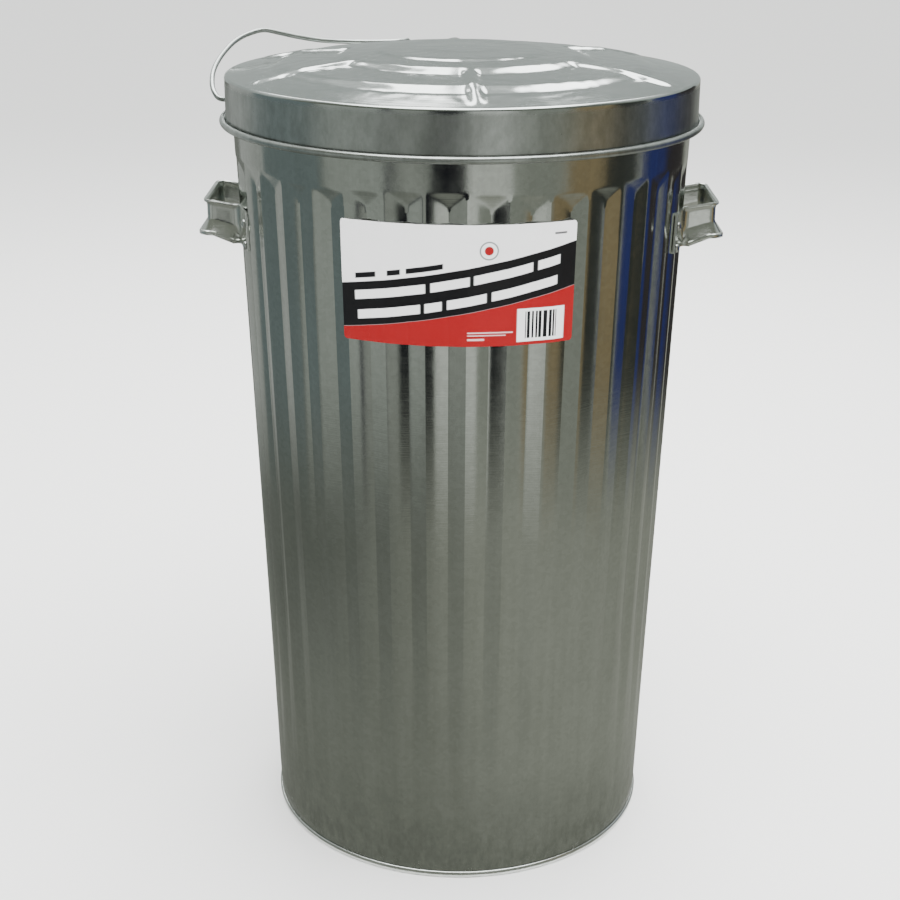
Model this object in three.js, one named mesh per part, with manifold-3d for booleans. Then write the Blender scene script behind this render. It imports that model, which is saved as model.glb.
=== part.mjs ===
// A galvanized steel garbage can with a loose lift-off lid, in millimetres, +Z up.
// The origin is on the floor, on the can's own axis. The label faces -Y and the two handles
// stand out along -X and +X. An azimuth is measured in degrees from the front (-Y) towards +X.
import * as THREE from "three";
import { mergeVertices } from "three/addons/utils/BufferGeometryUtils.js";
import Module from "manifold-3d";

const DEG = Math.PI / 180;
const GAP = 0.3; // clearance kept between pieces that touch
const SHEET = 0.6; // galvanized sheet of the wall and lid

// Can body: a tapered wall, pressed into upright flutes between two plain bands.
const BASE_RADIUS = 188.4; // outside of the wall, on the floor line
const TAPER = 0.0342; // growth of the radius per millimetre of height
const FLUTES = 37; // flute pitches round the wall
const FLUTE_PHASE = -27.8; // azimuth of one flute ridge
const FLUTE_DEPTH = 3;
const FLUTE_VALLEY = 0.58; // share of a pitch from a ridge to the bottom of the next valley
const FLUTE_FADE = [24, 90]; // the flutes rise out of the plain base band between these heights
const FLUTE_HEAD = [655, 680]; // and die out below the plain top band between these
const WALL_FOOT = 1.2; // underside of the wall's edge, inside the base hoop

// Rolled rim: the wall's top edge, curled outwards round a wire.
const RIM = { radius: 214.8, height: 746.2, curl: 1.8, wire: 1.25 };
const RIM_NECK = 741; // where the wall leaves its taper for the curl

// Bottom: a flanged pan, held with the wall's foot in a hoop that stands on the floor.
const PAN = { radius: 187.4, floor: 15.2, sheet: 0.7, bend: 3 };
const HOOP = { outside: 190.3, height: 6.4, web: 0.9, inside: 185 };

// Side handles: a channelled strap bent into a box loop, riveted to the wall at both ends.
const HANDLE = {
  sheet: 1,
  reach: 236.2, // outside of the strap's web at the grip, from the can's axis
  halfWidth: 45, // from the middle of the grip to the web of each leg
  corner: 6,
  root: 5, // radius of the bend between leg and tab
  tabEnd: 67.9, // azimuth of the tab's free edge
  wallLow: 597,
  wallHigh: 634, // edges of the strap on the wall
  gripLow: 605.6,
  gripHigh: 637.6, // edges of the strap along the grip
};

// The strap's section: the share of its height, and how far its face stands outside the web there.
const STRAP_SECTION = [
  [1, 2.8],
  [0.9, 0.9],
  [0.75, 0],
  [0.44, 0],
  [0.3, 2.4],
  [0.14, 5.5],
  [0, 8.3],
];

// Rivets: a domed head outside the strap, and a tail inside the wall. standoff is the gap between the
// strap's face and the underside of the head.
const RIVET = { shank: 2, head: 4.2, dome: 2.6, standoff: 0.3, tail: 3.4, tailThick: 1 };
const RIVET_AZIMUTHS = [69.6, 110.4];
const RIVET_HEIGHTS = { lower: 601.3, upper: 621.5 };

// Lid: a raised, stepped top that slopes down to its edge, a deep skirt, and a bead curled round a wire.
const LID_SEGMENTS = 48;
const LID = { skirt: 219, ledge: 749.5, corner: 1.5, bead: { radius: 221.65, height: 708, size: 3.25 } };
const LID_TOP = [
  [0, 771.5],
  [76, 770.2],
  [84, 768.4],
  [104, 767],
  [122, 762.2],
  [160, 759.9],
  [184, 754.9],
]; // radius and height of the lid's outer face, from the middle outwards
const LID_WIRE = 2;

// Bail: a wire loop on the lid's skirt, hinged in two ears. Its line is given as distances along
// the hinge, outwards and upwards, from the middle of the hinge.
const BAIL = { wire: 2.4, height: 717, azimuths: [-104, -162] };
const BAIL_LINE = [
  [-113.5, 0, 0],
  [-121, 0, 0],
  [-128, 0, 0],
  [-132.5, 3, 2],
  [-132, 10, 8],
  [-125.5, 19.5, 15],
  [-115.5, 29, 23],
  [-102, 38, 30.5],
  [-87, 45, 38],
  [-69, 51, 45.5],
  [-51, 53, 50.7],
  [-31, 51.7, 53.2],
  [-15.3, 45.5, 49.5],
  [0.5, 39.3, 45.3],
  [26.6, 31, 40],
  [54.3, 22, 37.2],
  [75, 10.5, 36.2],
  [95, -1, 35.9],
  [108, -5.5, 35.9],
  [118, -3, 35.4],
  [125, 1, 29.5],
  [128.5, 3, 19],
  [129, 2, 8],
  [127, 0, 0],
  [121, 0, 0],
  [113.5, 0, 0],
];
const EAR = { along: 119, sheet: 1.6, height: 10.8, depth: 11, foot: 13, footSheet: 1.2 };

// Label: a paper sheet on the flute ridges.
const LABEL = { from: -29.4, to: 28.1, low: 546.2, high: 652.6, sheet: 0.25 };

const wasm = await Module();
wasm.setup();

// The point at a radius, azimuth and height.
function polar(radius, azimuth, height) {
  return [radius * Math.sin(azimuth * DEG), -radius * Math.cos(azimuth * DEG), height];
}

// How far t lies between two limits, from 0 to 1.
function share(t, [low, high]) {
  return Math.min(1, Math.max(0, (t - low) / (high - low)));
}

// An indexed geometry from triangles of [x, y, z] points, turned so that its faces point out.
function closedGeometry(triangles) {
  let volume = 0;
  const solid = triangles.filter(([a, b, c]) => !same(a, b) && !same(b, c) && !same(c, a));
  for (const [a, b, c] of solid) {
    volume += new THREE.Vector3(...a).dot(new THREE.Vector3(...b).cross(new THREE.Vector3(...c)));
  }
  const facing = volume < 0 ? solid.map(([a, b, c]) => [a, c, b]) : solid;
  const geometry = new THREE.BufferGeometry();
  geometry.setAttribute("position", new THREE.Float32BufferAttribute(facing.flat(2), 3));
  return mergeVertices(geometry, 1e-4);
}

function same(p, q) {
  return Math.hypot(p[0] - q[0], p[1] - q[1], p[2] - q[2]) < 1e-6;
}

function quad(a, b, c, d) {
  return [
    [a, b, c],
    [a, c, d],
  ];
}

// A closed ring or disc: profileAt(index) gives the section at a stop as [radius, height] points,
// which close on themselves, or which start and end on the axis. The two faces of a thin wall are
// split along the same diagonals, so they stay apart where the wall is twisted.
function ringGeometry(azimuths, profileAt) {
  const rings = azimuths.map((azimuth, i) => profileAt(i).map(([r, z]) => polar(r, azimuth, z)));
  const triangles = rings.flatMap((ring, i) => {
    const next = rings[(i + 1) % rings.length];
    return ring.flatMap((p, j) => {
      const k = (j + 1) % ring.length;
      const falls = ring[k][2] < p[2];
      return falls ? quad(next[j], next[k], ring[k], p) : quad(p, next[j], next[k], ring[k]);
    });
  });
  return closedGeometry(triangles);
}

// A closed solid from stations of a thin strip, each with the same number of outer and inner points.
// Its two faces are split along the same diagonals too.
function stripGeometry(stations) {
  const ends = [stations[0], stations.at(-1)];
  const caps = ends.flatMap((station, end) =>
    station.outer.slice(1).flatMap((p, k) => {
      const face = quad(station.outer[k], p, station.inner[k + 1], station.inner[k]);
      return end ? face.map(([a, b, c]) => [a, c, b]) : face;
    }),
  );
  const loops = stations.map(({ outer, inner }) => [...outer, ...[...inner].reverse()]);
  const innerStart = stations[0].outer.length;
  const sides = loops.slice(1).flatMap((loop, i) =>
    loop.flatMap((p, j) => {
      const k = (j + 1) % loop.length;
      const last = loops[i];
      return j < innerStart ? quad(last[j], p, loop[k], last[k]) : quad(p, loop[k], last[k], last[j]);
    }),
  );
  return closedGeometry([...caps, ...sides]);
}

function solidOf(geometry) {
  const bare = geometry.clone();
  bare.deleteAttribute("normal");
  bare.deleteAttribute("uv");
  const merged = mergeVertices(bare, 1e-4);
  return new wasm.Manifold(
    new wasm.Mesh({
      numProp: 3,
      vertProperties: merged.attributes.position.array,
      triVerts: new Uint32Array(merged.index.array),
    }),
  );
}

function geometryOf(solid) {
  const mesh = solid.getMesh();
  const geometry = new THREE.BufferGeometry();
  geometry.setAttribute("position", new THREE.BufferAttribute(new Float32Array(mesh.vertProperties), 3));
  geometry.setIndex(new THREE.BufferAttribute(new Uint32Array(mesh.triVerts), 1));
  return geometry;
}

function cut(geometry, cutters) {
  const left = cutters.reduce((solid, cutter) => solid.subtract(solidOf(cutter)), solidOf(geometry));
  return geometryOf(left);
}

// Places a geometry whose +Y axis is to point outwards at an azimuth.
function pointOutwards(geometry, azimuth, radius, height) {
  const outward = new THREE.Vector3(...polar(1, azimuth, 0));
  const turn = new THREE.Quaternion().setFromUnitVectors(new THREE.Vector3(0, 1, 0), outward);
  return geometry.applyQuaternion(turn).translate(...polar(radius, azimuth, height));
}

// The points of an arc in a section, from one angle to another in equal steps.
function arc([r, z], radius, from, to, steps) {
  return Array.from({ length: steps + 1 }, (_, i) => {
    const angle = (from + ((to - from) * i) / steps) * DEG;
    return [r + radius * Math.cos(angle), z + radius * Math.sin(angle)];
  });
}

// Outer radius of the wall's envelope, which the flute ridges and the plain bands follow.
function wallRadius(height) {
  return BASE_RADIUS + TAPER * height;
}

// Azimuths round the can: one on each flute ridge (even) and one in each flute valley (odd).
const FLUTE_STOPS = Array.from({ length: FLUTES }, (_, i) => FLUTE_PHASE + (i * 360) / FLUTES).flatMap(
  (ridge) => [ridge, ridge + (FLUTE_VALLEY * 360) / FLUTES],
);

// Azimuths round the lid.
const LID_STOPS = Array.from({ length: LID_SEGMENTS }, (_, i) => (i * 360) / LID_SEGMENTS);

// The wall and its rolled rim, as one sheet.
function wallGeometry() {
  const heights = [WALL_FOOT, FLUTE_FADE[0], FLUTE_FADE[1], FLUTE_HEAD[0], FLUTE_HEAD[1], RIM_NECK];
  const roll = [RIM.radius, RIM.height];
  const curl = { from: 180, to: -100, steps: 5 };
  return ringGeometry(FLUTE_STOPS, (index) => {
    const inValley = index % 2;
    const face = heights.map((z) => {
      const pressed = share(z, FLUTE_FADE) * (1 - share(z, FLUTE_HEAD));
      return [wallRadius(z) - inValley * pressed * FLUTE_DEPTH, z];
    });
    const outerCurl = arc(roll, RIM.curl, curl.from, curl.to, curl.steps);
    const innerCurl = arc(roll, RIM.curl + SHEET, curl.to, curl.from, curl.steps);
    const back = face.map(([r, z]) => [r - SHEET, z]).reverse();
    return [...face, ...outerCurl, ...innerCurl, ...back];
  });
}

// A round wire lying in a ring, inside a rolled edge.
function wireRing(azimuths, { radius, height }, size) {
  return ringGeometry(azimuths, () => arc([radius, height], size, 0, 300, 5));
}

// The bottom pan: a flat floor with a flange turned down inside the wall's foot.
function panGeometry() {
  const { radius, floor, sheet, bend } = PAN;
  const top = [
    [0, floor],
    [radius - bend, floor],
    [radius, floor - bend],
    [radius, WALL_FOOT],
  ];
  const under = [
    [radius - sheet, WALL_FOOT],
    [radius - sheet, floor - bend - sheet / 2],
    [radius - bend - sheet / 2, floor - sheet],
    [0, floor - sheet],
  ];
  return ringGeometry(FLUTE_STOPS, () => [...top, ...under]);
}

// The base hoop: a channel that wraps the wall's foot and the pan's flange.
function hoopGeometry() {
  const outerLip = wallRadius(HOOP.height) + GAP;
  const innerLip = PAN.radius - PAN.sheet - GAP;
  const innerHeight = HOOP.height - 1;
  return ringGeometry(FLUTE_STOPS, () => [
    [HOOP.inside + 0.5, 0],
    [HOOP.outside - 0.6, 0],
    [HOOP.outside, 1.2],
    [HOOP.outside, HOOP.height - 0.8],
    [outerLip, HOOP.height],
    [outerLip, HOOP.web],
    [innerLip, HOOP.web],
    [innerLip, innerHeight],
    [HOOP.inside, innerHeight],
  ]);
}

// The plan of the right-hand handle's web, from the front tab round the grip to the back tab.
// Each stop has the web's place, its outward side, how far out it is from the wall (0) to the
// grip (1), and how much of the strap's section it has (0 is flat).
function handlePlan() {
  const tabRadius = wallRadius(HANDLE.wallHigh) + GAP + HANDLE.sheet;
  const { halfWidth, reach, corner, root, tabEnd } = HANDLE;
  const rootAzimuth = Math.acos((halfWidth + root) / tabRadius) / DEG;
  const legFoot = Math.sqrt(tabRadius ** 2 - halfWidth ** 2) + root;
  const stops = [];
  for (const step of [0, 0.35, 0.7, 1]) {
    const azimuth = tabEnd + (rootAzimuth - tabEnd) * step;
    const [x, y] = polar(tabRadius, azimuth, 0);
    stops.push({ x, y, side: polar(1, azimuth, 0), out: 0, channel: 0 });
  }
  for (const step of [0, 0.5, 1]) {
    const x = legFoot + (reach - corner - legFoot) * step;
    const out = share(x, [legFoot - root, reach - corner]);
    stops.push({ x, y: -halfWidth, side: [0, -1, 0], out, channel: 1 });
  }
  for (const azimuth of [30, 60, 90]) {
    const side = polar(1, azimuth, 0);
    const x = reach - corner + corner * side[0];
    const y = corner - halfWidth + corner * side[1];
    stops.push({ x, y, side, out: 1, channel: 1 });
  }
  const back = stops.map((stop) => ({ ...stop, y: -stop.y, side: [stop.side[0], -stop.side[1], 0] }));
  return [...stops, ...back.reverse()];
}

// A handle strap, with a hole for each rivet. The left one is the right one turned half round.
function handleGeometry() {
  const stations = handlePlan().map(({ x, y, side, out, channel }) => {
    const low = HANDLE.wallLow + (HANDLE.gripLow - HANDLE.wallLow) * out;
    const high = HANDLE.wallHigh + (HANDLE.gripHigh - HANDLE.wallHigh) * out;
    const line = (depth) =>
      STRAP_SECTION.map(([rise, flare]) => {
        const lean = (1 - channel) * (1 - rise) * (wallRadius(high) - wallRadius(low));
        const stand = flare * channel - depth - lean;
        return [x + side[0] * stand, y + side[1] * stand, low + (high - low) * rise];
      });
    return { outer: line(0), inner: line(HANDLE.sheet) };
  });
  return cut(stripGeometry(stations), RIVET_AZIMUTHS.flatMap((azimuth) => rivetHoles(azimuth)));
}

// Cutters for the two rivet holes at an azimuth, through the wall and the strap.
function rivetHoles(azimuth) {
  const size = RIVET.shank + GAP;
  const through = 14;
  return Object.values(RIVET_HEIGHTS).map((height) => {
    const hole = new THREE.CylinderGeometry(size, size, through, 8);
    return pointOutwards(hole, azimuth, wallRadius(height), height);
  });
}

// A rivet along +Y. Y is 0 on the outside of the wall's envelope.
function rivetGeometry() {
  const underHead = GAP + HANDLE.sheet + RIVET.standoff;
  const tailTop = -(FLUTE_DEPTH + SHEET + GAP);
  const profile = [
    [0, tailTop - RIVET.tailThick],
    [RIVET.tail, tailTop - RIVET.tailThick],
    [RIVET.tail, tailTop],
    [RIVET.shank, tailTop],
    [RIVET.shank, underHead],
    [RIVET.head, underHead],
    [RIVET.head * 0.75, underHead + RIVET.dome * 0.72],
    [0, underHead + RIVET.dome],
  ];
  return new THREE.LatheGeometry(
    profile.map(([r, y]) => new THREE.Vector2(r, y)),
    8,
  );
}

// The lid's one sheet: top, skirt and the bead curled outwards round the edge wire.
function lidGeometry() {
  const { skirt, ledge, corner, bead } = LID;
  const centre = [bead.radius, bead.height];
  const under = LID_TOP.map(([r, z]) => [r, z - SHEET]).reverse();
  const outside = [
    [skirt - corner, ledge],
    [skirt, ledge - corner],
    [skirt, bead.height + bead.size + 1],
  ];
  const inside = [
    [skirt - SHEET, bead.height + bead.size],
    [skirt - SHEET, ledge - corner - SHEET / 2],
    [skirt - corner - SHEET / 2, ledge - SHEET],
  ];
  const sweep = { from: 180, to: 460, steps: 6 };
  const innerCurl = arc(centre, bead.size - SHEET, sweep.from, sweep.to, sweep.steps);
  const outerCurl = arc(centre, bead.size, sweep.to, sweep.from, sweep.steps);
  return ringGeometry(LID_STOPS, () => [
    ...LID_TOP,
    ...outside,
    ...innerCurl,
    ...outerCurl,
    ...inside,
    ...under,
  ]);
}

// The bail's hinge line: the middle of the chord between its two ears, and three directions from it.
function bailFrame() {
  const earAt = (azimuth) => new THREE.Vector3(...polar(LID.skirt, azimuth, BAIL.height));
  const ears = BAIL.azimuths.map(earAt);
  const middle = ears[0].clone().lerp(ears[1], 0.5);
  const along = ears[1].clone().sub(ears[0]).normalize();
  const up = new THREE.Vector3(0, 0, 1);
  const outward = along.clone().cross(up).negate();
  return { middle, along, outward, up };
}

function bailPoint([s, out, rise]) {
  const { middle, along, outward, up } = bailFrame();
  return middle.clone().addScaledVector(along, s).addScaledVector(outward, out).addScaledVector(up, rise);
}

function bailGeometry() {
  const path = new THREE.CatmullRomCurve3(BAIL_LINE.map(bailPoint), false, "centripetal");
  const section = new THREE.Shape().absarc(0, 0, BAIL.wire, 0, 2 * Math.PI);
  return new THREE.ExtrudeGeometry(section, { steps: 60, curveSegments: 3, extrudePath: path });
}

// An ear: a lug across the hinge line with the wire's hole, on a foot that lies on the skirt.
function earGeometry(end) {
  const { along, sheet, height, depth, foot, footSheet } = EAR;
  const { middle, along: axis } = bailFrame();
  const hinge = middle.clone().addScaledVector(axis, end * along);
  const azimuth = Math.atan2(hinge.x, -hinge.y) / DEG;
  const standoff = LID.skirt + GAP;
  const turn = Math.atan2(axis.y, axis.x);
  const lug = new THREE.BoxGeometry(sheet, depth, height);
  lug.rotateZ(turn).translate(hinge.x, hinge.y, hinge.z);
  const hole = new THREE.CylinderGeometry(BAIL.wire + GAP, BAIL.wire + GAP, height, 10);
  hole.rotateZ(Math.PI / 2 + turn).translate(hinge.x, hinge.y, hinge.z);
  const plate = stripGeometry(
    [-1, -0.33, 0.33, 1].map((step) => {
      const at = azimuth + (step * foot) / 2 / standoff / DEG;
      const line = (radius) => [-0.5, 0.5].map((level) => polar(radius, at, hinge.z + level * height));
      return { outer: line(standoff + footSheet), inner: line(standoff) };
    }),
  );
  const skirtSide = ringGeometry(LID_STOPS, () => [
    [LID.skirt - depth, hinge.z - height],
    [standoff, hinge.z - height],
    [standoff, hinge.z + height],
    [LID.skirt - depth, hinge.z + height],
  ]);
  const joined = solidOf(lug).add(solidOf(plate));
  return geometryOf(joined.subtract(solidOf(skirtSide)).subtract(solidOf(hole)));
}

// The label, bent round the flute ridges.
function labelGeometry() {
  const steps = 12;
  const stations = Array.from({ length: steps + 1 }, (_, i) => {
    const azimuth = LABEL.from + ((LABEL.to - LABEL.from) * i) / steps;
    const line = (stand) => [LABEL.low, LABEL.high].map((z) => polar(wallRadius(z) + stand, azimuth, z));
    return { outer: line(2 * GAP + LABEL.sheet), inner: line(2 * GAP) };
  });
  return stripGeometry(stations);
}

function material(color, roughness, metalness) {
  return new THREE.MeshStandardMaterial({ color, roughness, metalness });
}

const can = new THREE.Group();

function addPiece(parent, name, geometry, finish) {
  const mesh = new THREE.Mesh(geometry, finish);
  mesh.name = name;
  parent.add(mesh);
  return mesh;
}

const wallSteel = () => material(0x8f9793, 0.3, 1);
const rivetSteel = () => material(0xc9ccca, 0.25, 1);
const wireSteel = () => material(0x9a9e9b, 0.4, 1);

const holes = [1, -1].flatMap((side) => RIVET_AZIMUTHS.flatMap((azimuth) => rivetHoles(side * azimuth)));
addPiece(can, "body_wall", cut(wallGeometry(), holes), wallSteel());
addPiece(can, "rim_wire", wireRing(FLUTE_STOPS, RIM, RIM.wire), wireSteel());
addPiece(can, "bottom_pan", panGeometry(), wallSteel());
addPiece(can, "base_hoop", hoopGeometry(), wallSteel());
addPiece(can, "label", labelGeometry(), material(0xe8e6e2, 0.35, 0));

for (const [name, side] of [
  ["right", 1],
  ["left", -1],
]) {
  const handle = addPiece(can, name + "_handle", handleGeometry(), material(0xa9afac, 0.25, 1));
  handle.rotation.z = side < 0 ? Math.PI : 0;
  RIVET_AZIMUTHS.forEach((azimuth, i) => {
    for (const [level, height] of Object.entries(RIVET_HEIGHTS)) {
      const end = i ? "back" : "front";
      const rivet = pointOutwards(rivetGeometry(), side * azimuth, wallRadius(height), height);
      addPiece(can, name + "_rivet_" + end + "_" + level, rivet, rivetSteel());
    }
  });
}

const lid = new THREE.Group();
can.add(lid);
addPiece(lid, "lid_shell", lidGeometry(), material(0xa7adaa, 0.3, 1));
addPiece(lid, "lid_edge_wire", wireRing(LID_STOPS, LID.bead, LID_WIRE), wireSteel());
addPiece(lid, "lid_bail", bailGeometry(), wireSteel());
addPiece(lid, "bail_ear_left", earGeometry(-1), wallSteel());
addPiece(lid, "bail_ear_back", earGeometry(1), wallSteel());

export default can;
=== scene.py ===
"""The looks of a galvanized steel garbage can with a loose lid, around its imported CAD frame.

Lengths in the shape code are in millimetres, as on a workshop drawing, and piece() turns them
into metres. The origin is on the floor on the can's axis, +Z is up and the label faces -Y.
An azimuth is measured in degrees from the front (-Y) towards +X.
"""

import math

import bmesh
import bpy
import numpy as np
from mathutils import Matrix, Vector


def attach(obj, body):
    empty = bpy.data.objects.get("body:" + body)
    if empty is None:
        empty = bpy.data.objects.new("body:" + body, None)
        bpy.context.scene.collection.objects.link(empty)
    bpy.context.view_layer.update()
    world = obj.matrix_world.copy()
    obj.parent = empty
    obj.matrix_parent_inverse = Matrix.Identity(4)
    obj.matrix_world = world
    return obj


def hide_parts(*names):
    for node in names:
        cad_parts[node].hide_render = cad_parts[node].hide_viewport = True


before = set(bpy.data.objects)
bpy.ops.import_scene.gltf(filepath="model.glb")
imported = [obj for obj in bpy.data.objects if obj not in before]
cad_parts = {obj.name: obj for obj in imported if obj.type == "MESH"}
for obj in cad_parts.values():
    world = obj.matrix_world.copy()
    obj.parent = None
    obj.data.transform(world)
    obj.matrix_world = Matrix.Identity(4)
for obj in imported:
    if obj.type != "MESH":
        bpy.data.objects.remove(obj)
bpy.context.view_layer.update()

MM = 0.001
SHEET = 0.6
GAP = 0.3  # between neighbouring pieces that touch in the real can

# Can wall: a taper, with flutes pressed between a plain top band and a plain foot.
BASE_RADIUS = 188.4
TAPER = 0.0342
FLUTES = 37
FLUTE_PHASE = -27.8
FLUTE_DEPTH = 3.0
FLUTE_VALLEY = 0.58
FLUTE_FADE = (24, 260)
FLUTE_TOP = 678
FLUTE_END_SLOPE = 0.2
RIM = dict(radius=214.8, height=746.2, curl=1.8, neck=741)
WALL_FOOT = 1.2

HOOP = dict(outside=190.3, inside=185, height=6.4, web=0.9, foot_roll=1.7, head_roll=1.5)
PAN = dict(radius=187.4, floor=15.2, sheet=0.7, bend=4)
SEAM = dict(azimuth=181.4, width=10, proud=0.9, low=9, high=738, plain=(1.5, 4.2))

# Lid.
LID_SKIRT = 219
LID_LEDGE = 749.5
LID_SHOULDER = 3
LID_BEAD = dict(radius=221.65, height=708, size=3.25)
LID_FACE = [
    (0, 771.4),
    (30, 771.3),
    (34, 770.9),
    (68, 770.6),
    (75, 770.2),
    (84, 768.5),
    (104, 767),
    (122, 762.3),
    (160, 759.9),
    (184, 754.9),
    (216, 749.5),
]
LID_STEPS = (4, 6, 8)
RIB_AZIMUTHS = (3.5, 62, 123, 183, 249, 298)
RIB_CREST = [(92, 768), (122, 765), (160, 761.9), (184, 757.4), (200, 753.9), (210, 750.9)]
RIB_WIDTH = 8
RIB_FADES = ((86, 104), (213, 205))
DENT_DEPTH = 0.13

# Side handles.
HANDLE = dict(
    sheet=1.0,
    lower_bead=2,
    upper_bead=1.35,
    tab_bead=0.8,
    reach=236.2,
    half_width=45,
    corner=6,
    root=5,
    tab_end=67.9,
    wall_low=597,
    wall_high=634,
    grip_low=605.6,
    grip_high=637.6,
)
RIVET = dict(shank=2, tail=3.4, tail_depth=5, tail_sheet=1, head=4.2, dome=2.3)
RIVET_AZIMUTHS = dict(front=69.6, back=110.4)
RIVET_HEIGHTS = dict(lower=601.3, upper=621.5)

# Bail.
BAIL_WIRE = 2.4
BAIL_HEIGHT = 717
BAIL_AZIMUTHS = (-104, -162)
BAIL_LINE = [
    (-113.5, 0, 0),
    (-121, 0, 0),
    (-128, 0, 0),
    (-132.5, 3, 2),
    (-132, 10, 8),
    (-125.5, 19.5, 15),
    (-115.5, 29, 23),
    (-102, 38, 30.5),
    (-87, 45, 38),
    (-69, 51, 45.5),
    (-51, 52.7, 50.6),
    (-31, 51.7, 53),
    (-15.3, 45.5, 49.5),
    (0.5, 39.3, 45.3),
    (26.6, 31, 40),
    (54.3, 22, 37.2),
    (75, 10.5, 36.2),
    (95, -1, 35.9),
    (108, -5.5, 35.9),
    (118, -3, 35.4),
    (125, 1, 29.5),
    (128.3, 3, 19),
    (128.7, 2, 8),
    (127, 0, 0),
    (121, 0, 0),
    (113.5, 0, 0),
]
EAR = dict(along=119, sheet=1.6, height=10.8, reach=6.5, foot=13, foot_sheet=1.2)

LABEL = dict(start=-28.9, end=27.6, low=546.4, high=652.4, corner=3, shape=1.93)
LABEL_SHEET = dict(back=0.6, face=0.85, dip=0.21, ripple=0.08)


def polar(radius, azimuth, height):
    angle = math.radians(azimuth)
    return (radius * math.sin(angle), -radius * math.cos(angle), height)


def wall_radius(height):
    return BASE_RADIUS + TAPER * height


def smooth(t):
    t = np.clip(t, 0, 1)
    return t * t * (3 - 2 * t)


def between(t, low, high):
    return (t - low) / (high - low)


def arc(centre, radius, start, end, steps):
    """Points of an arc in a [radius, height] section, angles in degrees."""
    angles = np.radians(np.linspace(start, end, steps + 1))
    return [(centre[0] + radius * math.cos(a), centre[1] + radius * math.sin(a)) for a in angles]


# Mesh building


def piece(name, points, faces, body, material, replaces=(), crease=32):
    """A visible piece, from points in millimetres, that rides on a body and takes a finish."""
    mesh = bpy.data.meshes.new(name)
    mesh.from_pydata((np.asarray(points, float) * MM).tolist(), [], faces)
    mesh.validate()
    shell = bmesh.new()
    shell.from_mesh(mesh)
    bmesh.ops.recalc_face_normals(shell, faces=shell.faces)
    shell.to_mesh(mesh)
    shell.free()
    mesh.update()
    mesh.shade_smooth()
    mesh.set_sharp_from_angle(angle=math.radians(crease))
    mesh.materials.append(material)
    obj = bpy.data.objects.new(name, mesh)
    bpy.context.scene.collection.objects.link(obj)
    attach(obj, body)
    if replaces:
        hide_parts(*replaces)
    return obj


def grid_faces(rows, columns, wrap_rows=False, wrap_columns=False):
    faces = []
    for i in range(rows if wrap_rows else rows - 1):
        k = (i + 1) % rows
        for j in range(columns if wrap_columns else columns - 1):
            m = (j + 1) % columns
            faces.append((i * columns + j, k * columns + j, k * columns + m, i * columns + m))
    return faces


def ring_mesh(azimuths, section_at):
    """Points and faces of a ring whose closed section at each azimuth is [radius, height] points."""
    sections = [section_at(azimuth) for azimuth in azimuths]
    points = [polar(r, azimuth, z) for azimuth, section in zip(azimuths, sections) for r, z in section]
    return points, grid_faces(len(azimuths), len(sections[0]), True, True)


def lathe_mesh(section, segments=192):
    azimuths = np.arange(segments) * 360 / segments
    return ring_mesh(azimuths, lambda azimuth: section)


def sweep_mesh(centres, frames, outline):
    """Points and faces of a bar: an outline in the plane of each frame's two directions."""
    points = [c + u * a + v * b for c, (u, v) in zip(centres, frames) for a, b in outline]
    count = len(outline)
    faces = grid_faces(len(centres), count, False, True)
    faces.append(tuple(range(count)))
    faces.append(tuple((len(centres) - 1) * count + i for i in reversed(range(count))))
    return points, faces


def joined(*meshes):
    points, faces = [], []
    for more_points, more_faces in meshes:
        start = len(points)
        points.extend(more_points)
        faces.extend(tuple(i + start for i in face) for face in more_faces)
    return points, faces


# Materials


def add(tree, kind, inputs=None, **settings):
    """A shader node. Input values are sockets to link or constants. Returns the node."""
    node = tree.nodes.new(kind)
    for key, value in settings.items():
        setattr(node, key, value)
    for key, value in (inputs or {}).items():
        if isinstance(value, bpy.types.NodeSocket):
            tree.links.new(value, node.inputs[key])
        else:
            node.inputs[key].default_value = value
    return node


def maths(tree, operation, *values):
    node = add(tree, "ShaderNodeMath", dict(enumerate(values)), operation=operation)
    return node.outputs[0]


def remap(tree, value, low, high, to_low, to_high):
    inputs = {"Value": value, "From Min": low, "From Max": high, "To Min": to_low, "To Max": to_high}
    return add(tree, "ShaderNodeMapRange", inputs, clamp=True).outputs[0]


def mixed(tree, share, a, b):
    """Mixes two colours, given as sockets or (r, g, b)."""
    a, b = [c if isinstance(c, bpy.types.NodeSocket) else (*c, 1) for c in (a, b)]
    return add(tree, "ShaderNodeMix", {0: share, 6: a, 7: b}, data_type="RGBA").outputs[2]


def noise(tree, place, stretch, scale, detail=3.0, roughness=0.55):
    """Noise from 0 to 1 on a place scaled by stretch along X, Y and Z."""
    scaled = add(tree, "ShaderNodeVectorMath", {0: place, 1: stretch}, operation="MULTIPLY").outputs[0]
    inputs = {"Vector": scaled, "Scale": scale, "Detail": detail, "Roughness": roughness}
    return add(tree, "ShaderNodeTexNoise", inputs).outputs[0]


def new_material(name):
    material = bpy.data.materials.new(name)
    material.use_nodes = True
    tree = material.node_tree
    tree.nodes.clear()
    output = add(tree, "ShaderNodeOutputMaterial")
    shader = add(tree, "ShaderNodeBsdfPrincipled")
    tree.links.new(shader.outputs[0], output.inputs[0])
    return material, tree, shader


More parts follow.
